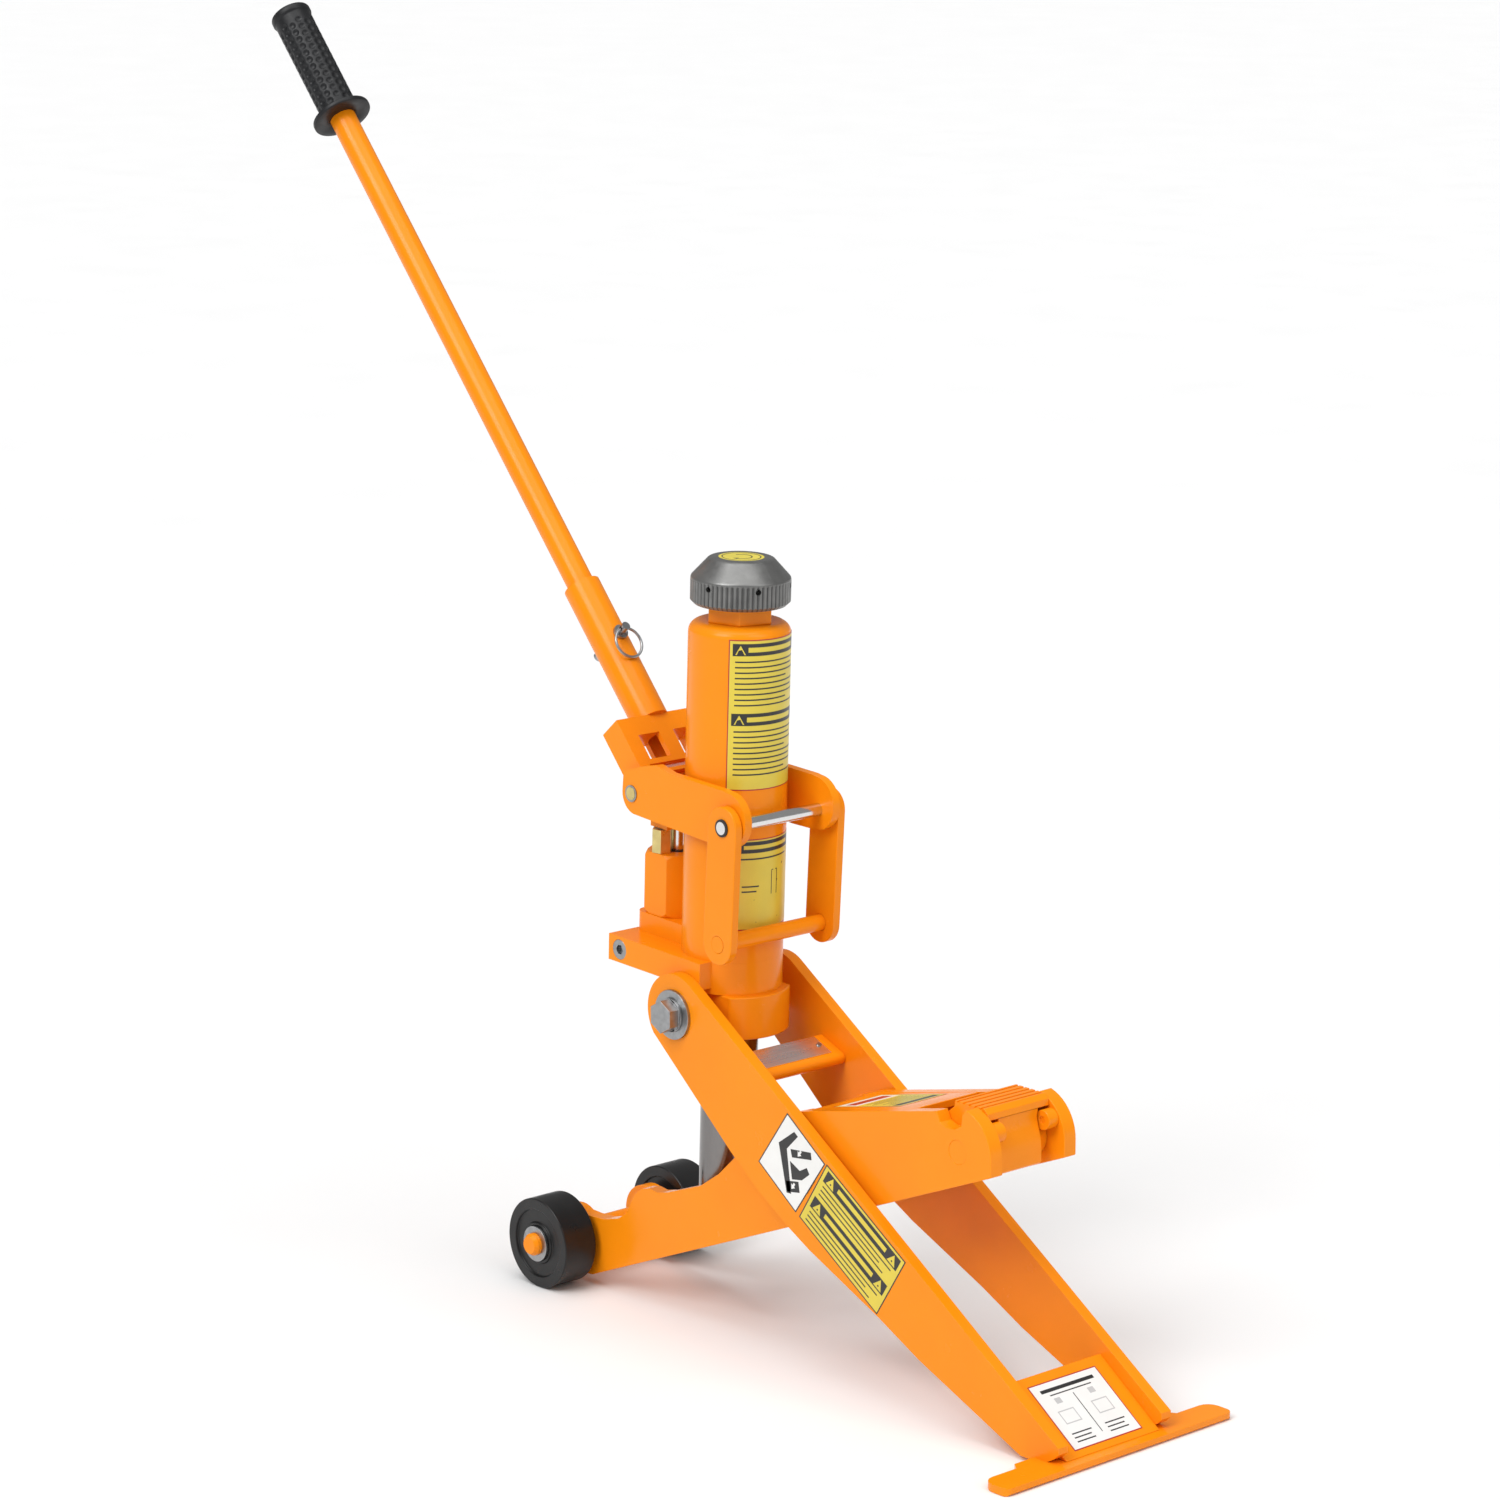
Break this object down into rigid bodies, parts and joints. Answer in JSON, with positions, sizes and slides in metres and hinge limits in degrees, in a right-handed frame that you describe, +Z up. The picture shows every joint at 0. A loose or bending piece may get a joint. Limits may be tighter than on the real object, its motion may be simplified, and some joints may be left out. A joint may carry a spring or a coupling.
{
  "type": "scissor hydraulic lifting jack",
  "caption": "Scissor hydraulic lifting jack: hinged plate frame on a foot bar, wheeled lift arm with grooved flip saddle, tilting hydraulic unit with lever pump.",
  "frame": {"origin": "middle of the foot bar's sole, on the floor", "axes": "+X from the wheels towards the foot bar, +Y across the jack, +Z up"},
  "size_m": [0.9985, 0.234, 1.003],
  "materials": {
    "orange_paint": "gloss enamel over steel",
    "plain_steel": "plain or zinc plated, satin",
    "label_plate": "satin plate with a printed border",
    "polished_rod": "ground and chrome plated",
    "yellow_zinc": "yellow passivated zinc on steel",
    "cast_knob": "turned grey casting, fluted edge",
    "yellow_disc": "printed disc",
    "wheel_nylon": "moulded black nylon",
    "grip_rubber": "dimpled matt rubber",
    "seal_rubber": "matt rubber"
  },
  "bodies": {
    "base_frame": {"frame_plate_near": "orange_paint", "frame_plate_far": "orange_paint", "foot_web": "orange_paint", "foot_bar": "orange_paint", "frame_tie": "orange_paint", "rating_plate": "label_plate", "rating_rivets": "plain_steel", "crossing_shaft": "orange_paint", "trunnion_bolts": "plain_steel", "trunnion_washers": "plain_steel"},
    "lift_arm": {"arm_plate_near": "orange_paint", "arm_plate_far": "orange_paint", "arm_top_web": "orange_paint", "arm_bottom_web": "orange_paint", "crossing_tube": "orange_paint", "wheel_axle": "orange_paint", "axle_washers": "plain_steel", "ram_seat": "orange_paint", "pad_pin": "orange_paint", "pad_stops": "orange_paint"},
    "near_wheel": {"wheel_near": "wheel_nylon", "bush_near": "plain_steel"},
    "far_wheel": {"wheel_far": "wheel_nylon", "bush_far": "plain_steel"},
    "saddle": {"lift_pad": "orange_paint"},
    "hydraulic_unit": {"trunnion_cup": "orange_paint", "ram_wiper": "seal_rubber", "base_block": "orange_paint", "reservoir": "orange_paint", "inner_cylinder": "plain_steel", "top_nut": "orange_paint", "filler_plug": "seal_rubber", "pump_body": "orange_paint", "pump_gland": "seal_rubber", "relief_valve": "yellow_zinc", "gallery_plug": "plain_steel", "lower_rod": "orange_paint"},
    "ram": {"ram_rod": "polished_rod", "ram_piston": "plain_steel", "piston_seal": "seal_rubber", "ram_foot": "plain_steel"},
    "release_valve": {"release_spindle": "plain_steel", "release_knob": "cast_knob", "knob_disc": "yellow_disc"},
    "links": {"link_near": "orange_paint", "link_far": "orange_paint", "fulcrum_rod": "polished_rod", "rod_rings": "plain_steel"},
    "pump_lever": {"yoke": "orange_paint", "handle_sleeve": "orange_paint", "plunger_pin": "yellow_zinc", "pin_clips": "plain_steel", "handle_tube": "orange_paint", "grip": "grip_rubber"},
    "plunger": {"plunger_rod": "polished_rod", "plunger_head": "orange_paint"},
    "handle_pin": {"lock_pin": "plain_steel"},
    "pull_ring": {"lock_ring": "plain_steel"}
  },
  "joints": [
    {"name": "lift", "type": "hinge", "parent": "base_frame", "child": "lift_arm", "pos_m": [-0.27, 0, 0.158], "axis": [0, -1, 0], "range_deg": [-38, 44]},
    {"name": "unit_tilt", "type": "hinge", "parent": "base_frame", "child": "hydraulic_unit", "pos_m": [-0.417, 0, 0.252], "axis": [0, -1, 0], "range_deg": [-19.1, 22.1]},
    {"name": "ram_swing", "type": "hinge", "parent": "lift_arm", "child": "ram", "pos_m": [-0.42349, 0, 0.07502], "axis": [0, -1, 0], "range_deg": [-22.1, 19.1]},
    {"name": "near_wheel_spin", "type": "hinge", "parent": "lift_arm", "child": "near_wheel", "pos_m": [-0.561, 0, 0.0365], "axis": [0, 1, 0], "continuous": true},
    {"name": "far_wheel_spin", "type": "hinge", "parent": "lift_arm", "child": "far_wheel", "pos_m": [-0.561, 0, 0.0365], "axis": [0, 1, 0], "continuous": true},
    {"name": "saddle_flip", "type": "hinge", "parent": "lift_arm", "child": "saddle", "pos_m": [-0.1185, 0, 0.2075], "axis": [0, -1, 0], "range_deg": [0, 90]},
    {"name": "release_turn", "type": "hinge", "parent": "hydraulic_unit", "child": "release_valve", "pos_m": [-0.417, 0, 0.252], "axis": [0.0366, 0, 0.9993], "range_deg": [0, 540]},
    {"name": "pump_stroke", "type": "hinge", "parent": "links", "child": "pump_lever", "pos_m": [-0.36275, 0, 0.40782], "axis": [0, 1, 0], "range_deg": [0, 14.5]},
    {"name": "link_rock", "type": "hinge", "parent": "hydraulic_unit", "child": "links", "pos_m": [-0.36857, 0, 0.31607], "axis": [0, 1, 0], "range_deg": [-2.1, 0.1]},
    {"name": "plunger_slide", "type": "slide", "parent": "hydraulic_unit", "child": "plunger", "axis": [0.0366, 0, 0.9993], "range_m": [-0.0001, 0.0251]},
    {"name": "pin_pull", "type": "slide", "parent": "pump_lever", "child": "handle_pin", "axis": [0.7541, 0, 0.6567], "range_m": [0, 0.04]},
    {"name": "ring_swing", "type": "hinge", "parent": "handle_pin", "child": "pull_ring", "pos_m": [-0.54423, 0, 0.52917], "axis": [0, -1, 0], "range_deg": [0, 150]}
  ],
  "couplings": [
    {"joint": "unit_tilt", "follows": "lift", "ratio": 0.5},
    {"joint": "ram_swing", "follows": "lift", "ratio": -0.5},
    {"joint": "link_rock", "follows": "pump_stroke", "ratio": -0.142},
    {"joint": "plunger_slide", "follows": "pump_stroke", "m_per_rad": 0.0985}
  ]
}
